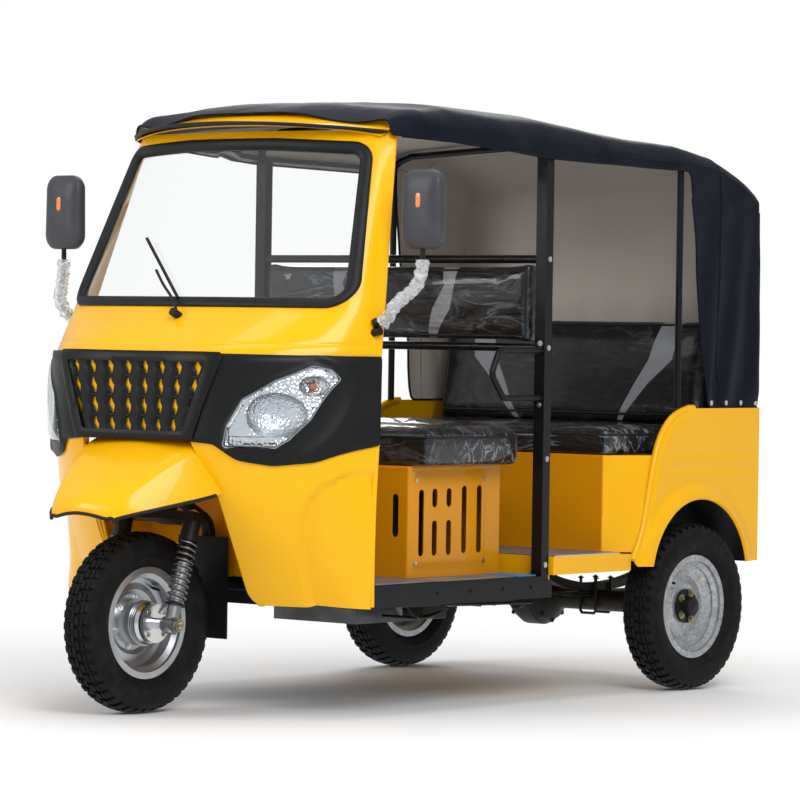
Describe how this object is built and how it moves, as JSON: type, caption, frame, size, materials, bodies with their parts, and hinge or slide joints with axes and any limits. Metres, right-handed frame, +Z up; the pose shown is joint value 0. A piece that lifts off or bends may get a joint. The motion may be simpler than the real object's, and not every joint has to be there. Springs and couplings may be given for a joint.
{
  "type": "three-wheeled auto rickshaw",
  "caption": "Passenger three-wheeler with an open-sided cab, canvas hood, bench seats, a steered fork and free-turning wheels.",
  "frame": {"origin": "middle of the footprint, on the floor that the tyres stand on", "axes": "+Z up, -Y towards the nose, +X towards the vehicle's left side"},
  "size_m": [1.606, 2.5999, 1.8598],
  "materials": {
    "yellow_paint": "glossy enamel",
    "black_plastic": "satin moulded",
    "rubber": "matte",
    "tyre": "matte",
    "glass": "clear laminated",
    "lamp_glass": "clear moulded lens",
    "red_lens": "moulded lens",
    "canvas": "coated canvas",
    "seat_vinyl": "vinyl under clear film",
    "black_steel": "satin black paint",
    "black_iron": "painted black",
    "cast_alloy": "as cast",
    "fork_alloy": "machined and lacquered",
    "polished_alloy": "polished",
    "rim_silver": "silver paint",
    "rim_zinc": "zinc plated"
  },
  "bodies": {
    "body": {"cab_shell": "yellow_paint", "windscreen_seal": "rubber", "windscreen_glass": "glass", "front_mask": "black_plastic", "grille": "black_plastic", "headlamps": "lamp_glass", "nose_fender": "yellow_paint", "visor": "yellow_paint", "cab_floor": "yellow_paint", "dashboard": "black_plastic", "chassis_frame": "black_steel", "mud_flap": "rubber", "engine_block": "cast_alloy", "rear_axle": "black_iron", "leaf_springs": "black_iron", "prop_shaft": "black_iron", "muffler": "black_steel", "partition_frame": "black_steel", "grab_handles": "black_plastic", "driver_seat_box": "yellow_paint", "driver_cushion": "seat_vinyl", "driver_backrest": "seat_vinyl", "passenger_floor": "yellow_paint", "passenger_seat_base": "yellow_paint", "passenger_cushion": "seat_vinyl", "passenger_backrest": "seat_vinyl", "rear_side_panels": "yellow_paint", "tail_panel": "yellow_paint", "tail_lamps": "red_lens", "canvas_hood": "canvas", "hood_bows": "black_steel", "mirrors": "black_plastic"},
    "fork": {"fork_yoke": "black_steel", "fork_legs": "fork_alloy", "fork_springs": "black_steel", "front_axle": "polished_alloy", "handlebar": "black_steel"},
    "front_wheel": {"front_tyre": "tyre", "front_rim": "rim_silver", "front_hub": "polished_alloy"},
    "rear_wheel_left": {"rear_tyre_left": "tyre", "rear_rim_left": "rim_zinc", "rear_hub_left": "black_iron"},
    "rear_wheel_right": {"rear_tyre_right": "tyre", "rear_rim_right": "rim_zinc", "rear_hub_right": "black_iron"}
  },
  "joints": [
    {"name": "steering", "type": "hinge", "parent": "body", "child": "fork", "pos_m": [0, -1.00016, 0.26273], "axis": [0, 0.2756, 0.9613], "range_deg": [-35, 35]},
    {"name": "front_wheel_spin", "type": "hinge", "parent": "fork", "child": "front_wheel", "pos_m": [0, -1.029, 0.271], "axis": [1, 0, 0], "continuous": true},
    {"name": "rear_wheel_left_spin", "type": "hinge", "parent": "body", "child": "rear_wheel_left", "pos_m": [0.5975, 0.926, 0.271], "axis": [1, 0, 0], "continuous": true},
    {"name": "rear_wheel_right_spin", "type": "hinge", "parent": "body", "child": "rear_wheel_right", "pos_m": [-0.5975, 0.926, 0.271], "axis": [1, 0, 0], "continuous": true}
  ]
}
